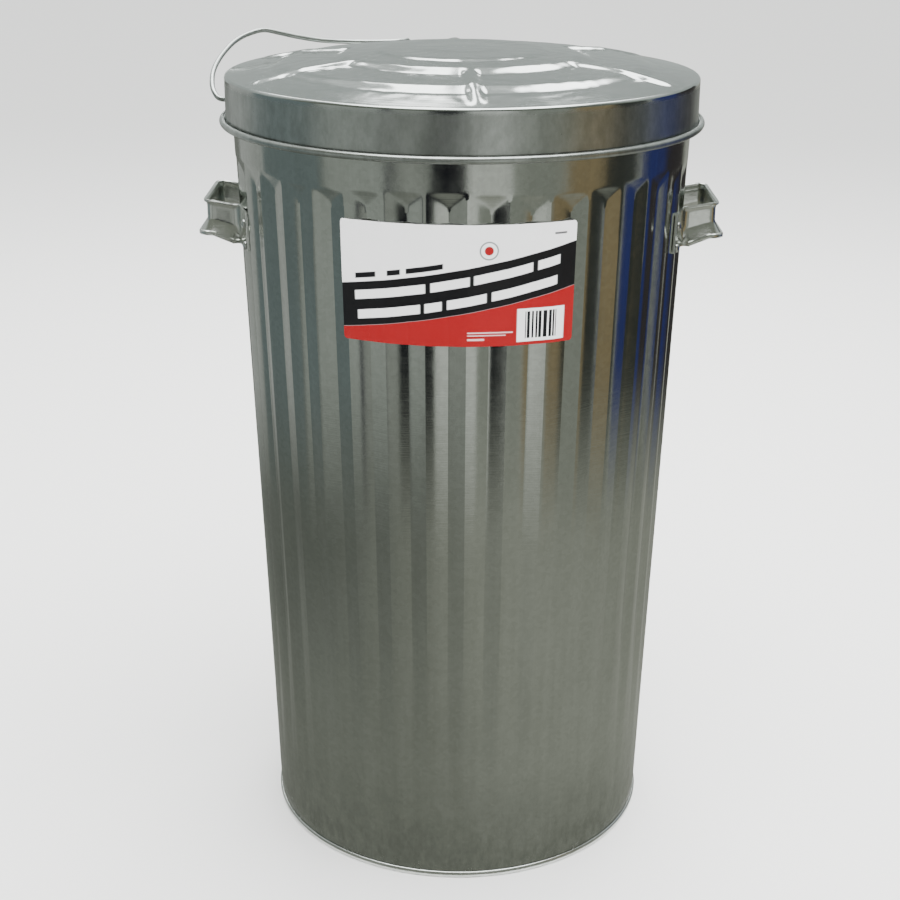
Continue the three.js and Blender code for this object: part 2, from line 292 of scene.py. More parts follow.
def galvanized(name, bright, dark, gloss, streaks=0.5, grain=0.0, dull_and_shaded=None):
    """Zinc-coated sheet: cloudy patches, upright streaks, fine crystals and rolling lines.

    bright and dark are the colours it drifts between, and gloss its least and most roughness.
    grain is how much the reflection is drawn out along the axis. The last argument is a zone in which
    the zinc turns matt and its colour is darkened as painted shade: its full and its fading height, the
    share of painted shade and the roughness it adds.
    """
    material, tree, shader = new_material(name)
    place = add(tree, "ShaderNodeTexCoord").outputs["Object"]
    clouds = noise(tree, place, (1, 1, 0.5), 7, 3)
    upright = noise(tree, place, (1, 1, 0.02), 75, 4, 0.65)
    crystals = add(tree, "ShaderNodeTexVoronoi", {"Vector": place, "Scale": 260}).outputs["Color"]
    crystal = add(tree, "ShaderNodeSeparateColor", {0: crystals}).outputs[0]
    lines = noise(tree, place, (0.02, 0.02, 1), 1500, 2)
    scuffs = noise(tree, place, (1, 1, 1), 70, 6, 0.7)

    tone = maths(tree, "ADD", clouds, maths(tree, "MULTIPLY", upright, streaks))
    tone = maths(tree, "ADD", tone, maths(tree, "MULTIPLY", crystal, 0.16))
    tone = maths(tree, "ADD", tone, maths(tree, "MULTIPLY", scuffs, 0.22))
    middle = 0.5 + 0.5 * streaks + 0.08 + 0.11
    share = remap(tree, tone, middle - 0.32, middle + 0.32, 0, 1)
    color = mixed(tree, share, dark, bright)
    rough = remap(tree, maths(tree, "ADD", upright, scuffs), 0.7, 1.3, gloss[1], gloss[0])
    if dull_and_shaded:
        full, fading, painted_shade, added = dull_and_shaded
        height = add(tree, "ShaderNodeSeparateXYZ", {0: place}).outputs[2]
        ragged = maths(tree, "MULTIPLY_ADD", clouds, (fading - full) * 0.5 * MM, height)
        inside = remap(tree, ragged, full * MM, fading * MM, 1, 0)
        blotch = noise(tree, place, (1, 1, 0.5), 95, 5, 0.7)
        mottle = remap(tree, blotch, 0.38, 0.62, 0.45, 1.25)
        share = maths(tree, "MULTIPLY", inside, mottle)
        # Painted shade: in this zone the colour is mixed towards a dark grey. The added roughness below is
        # the real dulling.
        color = mixed(tree, maths(tree, "MULTIPLY", share, painted_shade), color, (0.2, 0.215, 0.195))
        rough = maths(tree, "MULTIPLY_ADD", inside, added, rough)
    relief = maths(tree, "ADD", lines, maths(tree, "MULTIPLY", scuffs, 0.8))
    bump = add(tree, "ShaderNodeBump", {"Height": relief, "Strength": 0.1, "Distance": 0.0005})
    tree.links.new(color, shader.inputs["Base Color"])
    tree.links.new(rough, shader.inputs["Roughness"])
    tree.links.new(bump.outputs[0], shader.inputs["Normal"])
    shader.inputs["Metallic"].default_value = 1
    if grain:
        shader.inputs["Anisotropic"].default_value = grain
        tangent = add(tree, "ShaderNodeTangent", direction_type="RADIAL", axis="Z")
        tree.links.new(tangent.outputs[0], shader.inputs["Tangent"])
    return material


# The wall is rougher towards its foot, and its colour is darkened there as painted shade: fully below 30 mm,
# fading out by 150 mm.
WALL_STEEL = galvanized(
    "wall_zinc", (0.52, 0.545, 0.51), (0.38, 0.4, 0.365), (0.07, 0.16), grain=0.75, dull_and_shaded=(30, 150, 0.5, 0.14)
)
BASE_STEEL = galvanized("base_zinc", (0.66, 0.68, 0.66), (0.46, 0.48, 0.45), (0.14, 0.28))
# The lid is rougher on its skirt, bead and bail ears, and its colour is darkened there as painted shade:
# fully below 744 mm, fading out by 748 mm.
LID_STEEL = galvanized(
    "lid_zinc", (0.56, 0.59, 0.57), (0.44, 0.465, 0.445), (0.07, 0.15), streaks=0.2, dull_and_shaded=(744, 748, 0.4, 0.2)
)
STRAP_STEEL = galvanized("strap_zinc", (0.74, 0.76, 0.73), (0.54, 0.56, 0.52), (0.12, 0.26), streaks=0.2)
RIVET_STEEL = galvanized("rivet_zinc", (0.66, 0.67, 0.65), (0.48, 0.5, 0.48), (0.16, 0.3), streaks=0.1)
WIRE_STEEL = galvanized("wire_zinc", (0.56, 0.59, 0.57), (0.4, 0.425, 0.41), (0.26, 0.4), streaks=0.1)


def label_material():
    """Printed paper: a white field, a sloping black stripe and red below, with plain bars for print."""
    material, tree, shader = new_material("label_print")
    uv = add(tree, "ShaderNodeUVMap", uv_map="sheet").outputs[0]
    across, up, _ = add(tree, "ShaderNodeSeparateXYZ", {0: uv}).outputs
    place = add(tree, "ShaderNodeTexCoord").outputs["Object"]

    def above(value, limit):
        edge = maths(tree, "SUBTRACT", value, limit)
        return remap(tree, edge, -0.0025, 0.0025, 0, 1)

    def inside(value, low, high):
        return maths(tree, "MULTIPLY", above(value, low), maths(tree, "SUBTRACT", 1, above(value, high)))

    def curve(left, right, bow):
        """A gently bowed line from the left edge's height to the right edge's."""
        line = maths(tree, "MULTIPLY_ADD", across, right - left, left)
        middle = maths(tree, "MULTIPLY", across, maths(tree, "SUBTRACT", 1, across))
        return maths(tree, "SUBTRACT", line, maths(tree, "MULTIPLY", middle, bow))

    def share(z):
        return (z - LABEL["low"]) / (LABEL["high"] - LABEL["low"])

    stripe_foot = curve(share(557.3), share(596), 0.08)
    stripe_head = curve(share(596.2), share(634.8), 0.08)
    in_red = maths(tree, "SUBTRACT", 1, above(up, stripe_foot))
    in_black = inside(up, stripe_foot, stripe_head)
    fibre = noise(tree, place, (1, 1, 1), 420, 3)
    white = mixed(tree, fibre, (0.8, 0.805, 0.81), (0.84, 0.84, 0.84))
    ink = mixed(tree, fibre, (0.004, 0.004, 0.005), (0.007, 0.007, 0.008))
    red = mixed(tree, fibre, (0.25, 0.001, 0.003), (0.28, 0.002, 0.004))
    color = mixed(tree, in_black, mixed(tree, in_red, white, red), ink)

    def block(left, right, foot, head):
        return maths(tree, "MULTIPLY", inside(across, left, right), inside(up, foot, head))

    def bars(level, height, spans):
        """A row of plain bars along the stripe, standing for a line of print."""
        rise = maths(tree, "SUBTRACT", up, maths(tree, "ADD", stripe_foot, level))
        row = inside(rise, 0, height)
        words = [inside(across, start, end) for start, end in spans]
        total = words[0]
        for word in words[1:]:
            total = maths(tree, "ADD", total, word)
        return maths(tree, "MULTIPLY", row, total)

    upper_row = bars(0.222, 0.075, [(0.06, 0.366), (0.388, 0.548), (0.566, 0.81), (0.832, 0.928)])
    lower_row = bars(0.058, 0.075, [(0.071, 0.344), (0.363, 0.434), (0.456, 0.618), (0.64, 0.918)])
    color = mixed(tree, maths(tree, "MAXIMUM", upper_row, lower_row), color, white)
    color = mixed(tree, bars(0.398, 0.045, [(0.063, 0.155), (0.205, 0.262), (0.285, 0.44)]), color, ink)
    color = mixed(tree, block(0.9, 0.955, 0.9, 0.917), color, (0.08, 0.08, 0.08))
    for right, foot, head in ((0.73, 0.11, 0.12), (0.7, 0.088, 0.096), (0.61, 0.05, 0.066)):
        color = mixed(tree, block(0.54, right, foot, head), color, (0.72, 0.5, 0.5))

    color = mixed(tree, block(0.748, 0.957, 0.028, 0.305), color, white)
    number = maths(tree, "FLOOR", maths(tree, "MULTIPLY", across, 240))
    uneven = add(tree, "ShaderNodeTexWhiteNoise", {"W": number}, noise_dimensions="1D").outputs[0]
    printed = maths(tree, "GREATER_THAN", uneven, 0.45)
    lines = maths(tree, "MULTIPLY", block(0.776, 0.925, 0.055, 0.28), printed)
    color = mixed(tree, lines, color, ink)

    sideways = maths(tree, "MULTIPLY", maths(tree, "SUBTRACT", across, 0.626), LABEL["shape"])
    upwards = maths(tree, "SUBTRACT", up, 0.79)
    squares = [maths(tree, "MULTIPLY", way, way) for way in (sideways, upwards)]
    distance = maths(tree, "SQRT", maths(tree, "ADD", *squares))
    color = mixed(tree, inside(distance, 0.064, 0.076), color, (0.18, 0.2, 0.2))
    color = mixed(tree, inside(distance, -1, 0.036), color, red)
    tree.links.new(color, shader.inputs["Base Color"])
    rough = remap(tree, fibre, 0.3, 0.7, 0.34, 0.42)
    tree.links.new(rough, shader.inputs["Roughness"])
    relief = noise(tree, place, (1, 1, 1), 60, 4)
    bump = add(tree, "ShaderNodeBump", {"Height": relief, "Strength": 0.06, "Distance": 0.001})
    tree.links.new(bump.outputs[0], shader.inputs["Normal"])
    shader.inputs["Specular IOR Level"].default_value = 0.22
    return material


# Can wall


def flute_depth(azimuth, height):
    """How far the pressed wall lies inside its envelope."""
    pitch = 360 / FLUTES
    turns = (azimuth - FLUTE_PHASE) / pitch
    number = math.floor(turns)
    u = turns - number
    uneven = math.sin(number * 12.9898) * 0.5 + math.sin(number * 4.1) * 0.5
    depth = FLUTE_DEPTH * (1 + 0.08 * uneven)
    if u < FLUTE_VALLEY:
        across = depth * (u / FLUTE_VALLEY) ** 1.45
    else:
        across = depth * (1 - u) / (1 - FLUTE_VALLEY)
    top = FLUTE_TOP + 2 * math.sin(number * 7.3) - 1.5 * (2 * u - 1) ** 2
    end = max(0.0, (top - height) * FLUTE_END_SLOPE)
    blend = 0.35
    pressed = 0.5 * (across + end - math.sqrt((across - end) ** 2 + blend**2) + blend)
    pressed = max(0.0, pressed - 0.5 * blend * (1 - min(1, end)))
    from_seam = abs((azimuth - SEAM["azimuth"] + 180) % 360 - 180)
    return pressed * float(smooth(between(height, *FLUTE_FADE)) * smooth(between(from_seam, *SEAM["plain"])))


def wall_section(azimuth):
    heights = [WALL_FOOT, 8, 16, *np.linspace(24, 270, 14), *np.linspace(330, 610, 6)]
    heights += [*np.arange(640, 684, 1.8), 692, 710, 728, RIM["neck"]]
    face = [(wall_radius(z) - flute_depth(azimuth, z), z) for z in heights]
    roll = (RIM["radius"], RIM["height"])
    outer_curl = arc(roll, RIM["curl"], 180, -110, 12)
    inner_curl = arc(roll, RIM["curl"] + SHEET, -110, 180, 12)
    back = [(r - SHEET, z) for r, z in reversed(face)]
    return face + outer_curl + inner_curl + back


def build_wall():
    steps = 16
    azimuths = FLUTE_PHASE + np.arange(FLUTES * steps) * 360 / (FLUTES * steps)
    points, faces = ring_mesh(azimuths, wall_section)
    piece("wall_sheet", points, faces, "can", WALL_STEEL, ["body_wall"], crease=15)
    profile = ((-1, 0.15), (-0.82, 0.8), (-0.6, 1), (0.6, 1), (0.82, 0.8), (1, 0.15))
    rows, stations = 60, []
    for z in np.linspace(SEAM["low"], SEAM["high"], rows):
        for side, proud in profile:
            azimuth = SEAM["azimuth"] + math.degrees(side * SEAM["width"] / 2 / wall_radius(z))
            stations.append(polar(wall_radius(z) + SEAM["proud"] * proud, azimuth, z))
    count = len(profile)
    faces = grid_faces(rows, count, False, True)
    faces += [tuple(range(count)), tuple((rows - 1) * count + i for i in reversed(range(count)))]
    piece("wall_seam", stations, faces, "can", WALL_STEEL, crease=25)


def build_base():
    hoop_outer = wall_radius(HOOP["height"]) + GAP
    inner_lip = PAN["radius"] - PAN["sheet"] - GAP
    foot, head = HOOP["foot_roll"], HOOP["head_roll"]
    section = [(HOOP["inside"] + 1.2, 0.0), (HOOP["outside"] - foot, 0.0)]
    section += arc((HOOP["outside"] - foot, foot), foot, -80, 0, 5)
    section += arc((HOOP["outside"] - head, HOOP["height"] - head), head, 0, 90, 5)
    section += [(hoop_outer, HOOP["height"] - 0.3), (hoop_outer, HOOP["web"])]
    section += [(inner_lip, HOOP["web"]), (inner_lip, HOOP["height"] - 1)]
    section += [(HOOP["inside"] + 0.4, HOOP["height"] - 1), (HOOP["inside"], HOOP["height"] - 1.6)]
    section += [(HOOP["inside"], 1.1)]
    points, faces = lathe_mesh(section)
    piece("foot_hoop", points, faces, "can", BASE_STEEL, ["base_hoop"])

    bend, radius, floor, sheet = PAN["bend"], PAN["radius"], PAN["floor"], PAN["sheet"]
    corner = (radius - bend, floor - bend)
    top = [(0.01, floor), (60, floor), (120, floor), (radius - bend - 2, floor)]
    top += arc(corner, bend, 90, 0, 8) + [(radius, WALL_FOOT)]
    under = [(radius - sheet, WALL_FOOT)] + arc(corner, bend - sheet, 0, 90, 8)
    under += [(r, floor - sheet) for r in (radius - bend - 2, 120, 60, 0.01)]
    points, faces = lathe_mesh(top + under)
    piece("floor_pan", points, faces, "can", BASE_STEEL, ["bottom_pan"])


# Lid


def profile_height(profile, radius, rounded=()):
    """Height of a [radius, height] line. The spans listed as rounded start and end level."""
    i = sum(1 for r, _ in profile[1:-1] if r <= radius)
    (r0, z0), (r1, z1) = profile[i : i + 2]
    t = min(1.0, max(0.0, between(radius, r0, r1)))
    return z0 + (z1 - z0) * (float(smooth(t)) if i in rounded else t)


def lid_height(radius, azimuth):
    """Height of the lid's pressed top: rings stepping down to its edge, crossed by six ribs."""
    height = profile_height(LID_FACE, radius, LID_STEPS)
    crest = profile_height(RIB_CREST, radius)
    ends = math.prod(float(smooth(between(radius, *fade))) for fade in RIB_FADES)
    for rib in RIB_AZIMUTHS:
        turn = (azimuth - rib + 180) % 360 - 180
        if abs(turn) < 20:
            aside = radius * math.sin(math.radians(abs(turn)))
            height += max(0.0, crest - height) * float(smooth(1.15 - aside / RIB_WIDTH)) * ends
    x, y, _ = polar(radius, azimuth, 0)
    dents = math.sin(0.21 * x + 1.9 * math.sin(0.09 * y)) * math.sin(0.17 * y + 1.4 * math.sin(0.11 * x))
    return height + DENT_DEPTH * dents * float(smooth(between(radius, 212, 190)))


def lid_section(azimuth):
    edge = LID_SKIRT - LID_SHOULDER
    radii = [0.01, 15, 28, 31, 34, 50, 62, *np.arange(66, 189, 2.4), *np.arange(190, 212, 3), 213.5, edge]
    top = [(r, lid_height(r, azimuth)) for r in radii]
    shoulder = arc((edge, top[-1][1] - LID_SHOULDER), LID_SHOULDER, 80, 0, 8)
    bead = LID_BEAD
    centre = (bead["radius"], bead["height"])
    outside = top + shoulder + [(LID_SKIRT, 730), (LID_SKIRT, bead["height"] + bead["size"] + 1)]
    inner_curl = arc(centre, bead["size"] - SHEET, 180, 450, 20)
    outer_curl = arc(centre, bead["size"], 450, 180, 20)
    under = [(r, z - SHEET) for r, z in reversed(top[:-1])]
    inside = [(LID_SKIRT - SHEET, 730), (LID_SKIRT - SHEET, LID_LEDGE - LID_SHOULDER)]
    inside += [(edge, LID_LEDGE - SHEET - 0.2)]
    return outside + inner_curl + outer_curl + inside + under


def build_lid():
    azimuths = list(np.arange(0, 360, 1.5))
    for rib in RIB_AZIMUTHS:
        azimuths = [a for a in azimuths if abs((a - rib + 180) % 360 - 180) > 6.5]
        azimuths += [(rib + turn) % 360 for turn in np.arange(-6, 6.1, 0.75)]
    points, faces = ring_mesh(sorted(azimuths), lid_section)
    piece("lid_pressing", points, faces, "lid", LID_STEEL, ["lid_shell"], crease=50)


# Bail and ears


def bail_frame():
    ears = [Vector(polar(LID_SKIRT, azimuth, BAIL_HEIGHT)) for azimuth in BAIL_AZIMUTHS]
    middle = (ears[0] + ears[1]) / 2
    along = (ears[1] - ears[0]).normalized()
    up = Vector((0, 0, 1))
    return middle, along, -along.cross(up), up


def curve_through(controls, steps):
    """A smooth line through the controls, with the given number of steps to each span."""
    controls = [Vector(c) for c in controls]
    padded = [controls[0] * 2 - controls[1], *controls, controls[-1] * 2 - controls[-2]]
    line = []
    for a, b, c, d in zip(padded, padded[1:], padded[2:], padded[3:]):
        for i in range(steps):
            t = i / steps
            pull = 0.5 * (2 * b + (c - a) * t + (2 * a - 5 * b + 4 * c - d) * t**2)
            line.append(pull + 0.5 * (3 * b - a - 3 * c + d) * t**3)
    line.append(controls[-1])
    return line


def tube_mesh(line, radius, sides=14):
    tangents = [(b - a).normalized() for a, b in zip([line[0], *line], [*line[1:], line[-1]])]
    tangents[0] = (line[1] - line[0]).normalized()
    side = tangents[0].orthogonal().normalized()
    frames = []
    for tangent in tangents:
        side = (side - tangent * side.dot(tangent)).normalized()
        frames.append((side, tangent.cross(side)))
    angles = np.arange(sides) * 2 * math.pi / sides
    outline = [(radius * math.cos(a), radius * math.sin(a)) for a in angles]
    return sweep_mesh(line, frames, outline)


def build_bail():
    middle, along, outward, up = bail_frame()
    controls = [middle + along * s + outward * out + up * rise for s, out, rise in BAIL_LINE]
    points, faces = tube_mesh(curve_through(controls, 5), BAIL_WIRE)
    piece("bail_wire", points, faces, "bail", WIRE_STEEL, ["lid_bail"])


def ear_mesh(hinge):
    """A round-ended lug that the wire passes through, on a plate that follows the lid's skirt."""
    _, along, outward, up = bail_frame()
    azimuth = math.degrees(math.atan2(hinge.x, -hinge.y))
    standoff = LID_SKIRT + GAP
    depth = standoff - math.hypot(hinge.x, hinge.y)
    half = EAR["height"] / 2
    round_end = []
    for angle in np.radians(np.linspace(-90, 90, 15)):
        round_end.append((EAR["reach"] * math.cos(angle), half * math.sin(angle)))
    outline = [(depth - 1, half), (depth - 1, -half), *round_end]
    sides = [hinge + along * offset for offset in (-EAR["sheet"] / 2, EAR["sheet"] / 2)]
    lug = sweep_mesh(sides, [(outward, up)] * 2, outline)

    steps, sheet = 10, EAR["foot_sheet"]
    plate = []
    for i in range(steps + 1):
        turn = math.degrees((i / steps - 0.5) * EAR["foot"] / standoff)
        level = half * (1 - 0.35 * (2 * i / steps - 1) ** 4)
        for out, rise in ((0, -level), (0, level), (sheet, level), (sheet, -level)):
            plate.append(Vector(polar(standoff + out, azimuth + turn, hinge.z + rise)))
    plate_faces = grid_faces(steps + 1, 4, False, True) + [(0, 1, 2, 3)]
    plate_faces.append(tuple(4 * steps + i for i in (3, 2, 1, 0)))
    return joined(lug, (plate, plate_faces))


def build_ears():
    middle, along, _, _ = bail_frame()
    for node, end in (("bail_ear_left", -1), ("bail_ear_back", 1)):
        points, faces = ear_mesh(middle + along * (end * EAR["along"]))
        finer = node.replace("bail_ear", "ear")
        piece(finer, points, faces, "lid", LID_STEEL, [node], crease=30)


# Handles and rivets


def handle_plan():
    """Stops along the right-hand strap's web: x, y, outward side, out (0 wall, 1 grip), channel."""
    tab_radius = wall_radius(HANDLE["wall_high"]) + GAP + HANDLE["sheet"]
    half, reach, corner, root = (HANDLE[k] for k in ("half_width", "reach", "corner", "root"))
    tab_end = HANDLE["tab_end"]
    root_azimuth = 90 - math.degrees(math.asin((half + root) / tab_radius))
    stops = []
    for step in np.linspace(0, 1, 8):
        azimuth = tab_end + (root_azimuth - tab_end) * step
        x, y, _ = polar(tab_radius, azimuth, 0)
        stops.append((x, y, polar(1, azimuth, 0)[:2], 0.0, 0.0))
    foot_x, foot_y, _ = polar(tab_radius, root_azimuth, 0)
    leg_foot = math.sqrt(tab_radius**2 - half**2) + root
    for step in (0.3, 0.6, 0.85):
        x = foot_x + (leg_foot - foot_x) * (1 - math.cos(step * math.pi / 2))
        y = foot_y + (-half - foot_y) * math.sin(step * math.pi / 2)
        angle = math.radians(root_azimuth * (1 - step))
        stops.append((x, y, (math.sin(angle), -math.cos(angle)), 0.1 * step, float(smooth(step * 1.1))))
    for step in np.linspace(0, 1, 6):
        x = leg_foot + (reach - corner - leg_foot) * step
        stops.append((x, -half, (0, -1), 0.15 + 0.85 * step, 1.0))
    for azimuth in (15, 30, 45, 60, 75, 90):
        side = polar(1, azimuth, 0)[:2]
        x = reach - corner + corner * side[0]
        y = corner - half + corner * side[1]
        stops.append((x, y, side, 1.0, 1.0))
    for y in np.linspace(corner - half, 0, 6)[1:]:
        stops.append((reach, y, (1, 0), 1.0, 1.0))
    back = [(x, -y, (side[0], -side[1]), out, channel) for x, y, side, out, channel in reversed(stops[:-1])]
    return stops + back


def strap_flare(rise):
    """How far the strap's face stands outside its web at a share of its height."""
    low = 8.3 * max(0.0, (0.44 - rise) / 0.44) ** 1.15
    high = 2.8 * max(0.0, (rise - 0.82) / 0.18) ** 1.6
    return low + high


def handle_mesh(mirror):
    stops = handle_plan()
    rises = np.linspace(0, 1, 22)
    beads = (HANDLE["lower_bead"], HANDLE["upper_bead"])
    outer, inner, lines = [], [], ([], [])
    for x, y, side, out, channel in stops:
        low = HANDLE["wall_low"] + (HANDLE["grip_low"] - HANDLE["wall_low"]) * out
        high = HANDLE["wall_high"] + (HANDLE["grip_high"] - HANDLE["wall_high"]) * out

        def stand(rise):
            """How far the face stands outside its stop: the tabs lean in with the tapered wall."""
            return strap_flare(rise) * channel - (1 - channel) * (1 - rise) * (high - low) * TAPER

        for depth, rows in ((0, outer), (HANDLE["sheet"], inner)):
            for rise in rises:
                out_by = stand(rise) - depth
                rows.append((x + side[0] * out_by, y + side[1] * out_by, low + (high - low) * rise))
        for end, bead in enumerate(beads):
            out_by = stand(end) - bead
            z = low + (high - low) * end + (-bead if end else bead)
            lines[end].append(Vector((x + side[0] * out_by, y + side[1] * out_by, z)))
    count, width = len(stops), len(rises)
    points = outer + inner
    faces = grid_faces(count, width)
    faces += [tuple(reversed([i + count * width for i in face])) for face in grid_faces(count, width)]
    for i in range(count - 1):
        for j in (0, width - 1):
            a, b = i * width + j, (i + 1) * width + j
            c, d = b + count * width, a + count * width
            faces.append((a, d, c, b) if j == 0 else (a, b, c, d))
    for j in range(width - 1):
        for i in (0, count - 1):
            a, b = i * width + j, i * width + j + 1
            c, d = b + count * width, a + count * width
            faces.append((a, b, c, d) if i == 0 else (a, d, c, b))
    parts = [(points, faces)] + [tube_mesh(line, bead, 10) for line, bead in zip(lines, beads)]
    for end in (0, -1):
        x, y, side, _, _ = stops[end]
        for depth in (0.5, 1.5):
            line = []
            for z in np.linspace(HANDLE["wall_low"] + 1, HANDLE["wall_high"] - 1, 12):
                inward = depth + (HANDLE["wall_high"] - z) * TAPER
                line.append(Vector((x - side[0] * inward, y - side[1] * inward, z)))
            parts.append(tube_mesh(line, HANDLE["tab_bead"], 10))
    points, faces = joined(*parts)
    if mirror:
        points = [(-p[0], -p[1], p[2]) for p in points]
    return points, faces


def rivet_mesh(azimuth, height):
    outward = Vector(polar(1, azimuth, 0))
    across = outward.cross(Vector((0, 0, 1)))
    up = Vector((0, 0, 1))
    root = Vector(polar(wall_radius(height), azimuth, height))
    under_head = GAP + HANDLE["sheet"] + GAP
    shank, tail, deep, head = (RIVET[k] for k in ("shank", "tail", "tail_depth", "head"))
    rings = [(shank, -deep), (tail, -deep), (tail, RIVET["tail_sheet"] - deep)]
    rings += [(shank, RIVET["tail_sheet"] - deep), (shank, under_head), (head - 0.2, under_head)]
    for a in np.radians([0, 18, 36, 54, 70, 84]):
        rings.append((head * math.cos(a), under_head + 0.3 + RIVET["dome"] * math.sin(a)))
    sides = 24
    points = []
    for radius, out in rings:
        for k in range(sides):
            a = 2 * math.pi * k / sides
            spoke = across * math.cos(a) + up * math.sin(a)
            points.append(root + outward * out + spoke * radius)
    faces = grid_faces(len(rings), sides, False, True)
    faces.append(tuple(range(sides)))
    faces.append(tuple((len(rings) - 1) * sides + k for k in reversed(range(sides))))
    return points, faces


def build_handles():
    for name, sign in (("right", 1), ("left", -1)):
        points, faces = handle_mesh(sign < 0)
        node = name + "_handle"
        piece(name + "_strap", points, faces, "can", STRAP_STEEL, [node], crease=28)
        for end, azimuth in RIVET_AZIMUTHS.items():
            for level, height in RIVET_HEIGHTS.items():
                points, faces = rivet_mesh(sign * azimuth, height)
                node = f"{name}_rivet_{end}_{level}"
                finer = node.replace("rivet", "rivet_head")
                piece(finer, points, faces, "can", RIVET_STEEL, [node])


def build_label():
    """The label's sheet, which dips a little between the ridges it is glued to."""
    columns, rows = 240, 40
    start, end, low, high = (LABEL[k] for k in ("start", "end", "low", "high"))
    radius = wall_radius((low + high) / 2)
    width = math.radians(end - start) * radius
    outer, inner = [], []
    uvs = []
    for i in range(columns + 1):
        s = i / columns
        edge = min(s, 1 - s) * width
        trim = 0.0
        if edge < LABEL["corner"]:
            trim = LABEL["corner"] - math.sqrt(LABEL["corner"] ** 2 - (LABEL["corner"] - edge) ** 2)
        for j in range(rows + 1):
            z = low + trim + (high - low - 2 * trim) * j / rows
            azimuth = start + (end - start) * s
            dip = LABEL_SHEET["dip"] * flute_depth(azimuth, z)
            ripple = LABEL_SHEET["ripple"] * math.sin(azimuth * 1.9 + z * 0.05)
            glued = wall_radius(z) - dip + ripple
            outer.append(polar(glued + LABEL_SHEET["face"], azimuth, z))
            inner.append(polar(glued + LABEL_SHEET["back"], azimuth, z))
            uvs.append((s, (z - low) / (high - low)))
    count = (columns + 1) * (rows + 1)
    front = grid_faces(columns + 1, rows + 1)
    faces = front + [tuple(reversed([i + count for i in face])) for face in front]
    for j in range(rows):
        a, b = j, j + 1
        faces.append((a, b, b + count, a + count))
        a, b = columns * (rows + 1) + j, columns * (rows + 1) + j + 1
        faces.append((a, a + count, b + count, b))
    for i in range(columns):
        a, b = i * (rows + 1), (i + 1) * (rows + 1)
        faces.append((a, a + count, b + count, b))
        faces.append((a + rows, b + rows, b + rows + count, a + rows + count))
    paper = label_material()
    obj = piece("label_sheet", outer + inner, faces, "can", paper, ["label"], crease=30)
    layer = obj.data.uv_layers.new(name="sheet")
    both = uvs + uvs
    for loop in obj.data.loops:
        layer.data[loop.index].uv = both[loop.vertex_index]


build_wall()
build_base()
build_lid()
build_bail()
build_ears()
build_handles()
build_label()
for node in ("rim_wire", "lid_edge_wire"):
    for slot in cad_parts[node].material_slots:
        slot.material = WIRE_STEEL


# Stage: floor, light and camera


def build_floor():
    bpy.ops.mesh.primitive_circle_add(vertices=96, radius=14, fill_type="NGON")
    floor = bpy.context.object
    floor.name = "floor"
    material, tree, shader = new_material("floor_paint")
    shader.inputs["Base Color"].default_value = (0.9, 0.9, 0.89, 1)
    shader.inputs["Roughness"].default_value = 0.9
    shader.inputs["Specular IOR Level"].default_value = 0.1
    floor.data.materials.append(material)


def only_reflected(points, faces, name, glow_at):
    """Adds a glowing card, in metres, that shows in the metal and nowhere else.

    glow_at makes its colour from the tree and the place on the card.
    """
    mesh = bpy.data.meshes.new(name)
    mesh.from_pydata(points, [], faces)
    material, tree, shader = new_material(name + "_glow")
    place = add(tree, "ShaderNodeTexCoord").outputs["Object"]
    shader.inputs["Base Color"].default_value = (0, 0, 0, 1)
    shader.inputs["Specular IOR Level"].default_value = 0
    tree.links.new(glow_at(tree, place), shader.inputs["Emission Color"])
    shader.inputs["Emission Strength"].default_value = 1
    mesh.materials.append(material)
    card = bpy.data.objects.new(name, mesh)
    bpy.context.scene.collection.objects.link(card)
    card.visible_camera = False
    card.visible_diffuse = False
    card.visible_shadow = False


def sector_sheet(profile, start, end, step=2.0):
    """A sheet, in metres, that follows a [radius, height] profile between two azimuths."""
    columns = max(2, round((end - start) / step) + 1)
    azimuths = np.linspace(start, end, columns)
    points = [polar(r, azimuth, z) for azimuth in azimuths for r, z in profile]
    return points, grid_faces(columns, len(profile))


CARD_PROFILE = [(0.9, 0.003), (1.4, 0.012), (1.7, 0.25), (2.0, 0.6), (2.3, 1.15)]
CARD_FADE = (0.9, 1.45)
FLOOR_TONES = dict(left=(0.2, 0.212, 0.192), right=(0.4, 0.41, 0.36))
FLOOR_CARD = dict(inner=0.192, outer=12, height=0.002)

# The dome over the can. Shares are of its radius: heights, depths behind the can and, for the
# lamps, spans from left to right.
DOME = dict(
    radius=12.5,
    lamp_heights=(0.49, 0.55),
    behind=(-0.1, 0.3),
    overhead=(0.84, 0.92),
    lamps=[(-0.34, -0.24), (-0.12, -0.01), (0.1, 0.3)],
    lamp_edge=0.012,
    between_lamps=0.05,
    front_tone=(0.2, 0.215, 0.18),
    back_tone=(0.54, 0.59, 0.57),
    lamp_tone=(8, 8.1, 8.1),
)


def floor_tone(tree, place):
    """The floor as the metal sees it: darker on the left of the can."""
    x = add(tree, "ShaderNodeSeparateXYZ", {0: place}).outputs[0]
    return mixed(tree, remap(tree, x, -0.7, 0.3, 0, 1), FLOOR_TONES["left"], FLOOR_TONES["right"])


def card_azimuth(reflected):
    """Where a card stands to be seen in the wall in the direction that a far one would be."""
    wall, away = 0.21, 1.4
    shift = math.asin(wall / away * math.sin(math.radians(reflected / 2)))
    return reflected - math.degrees(shift)


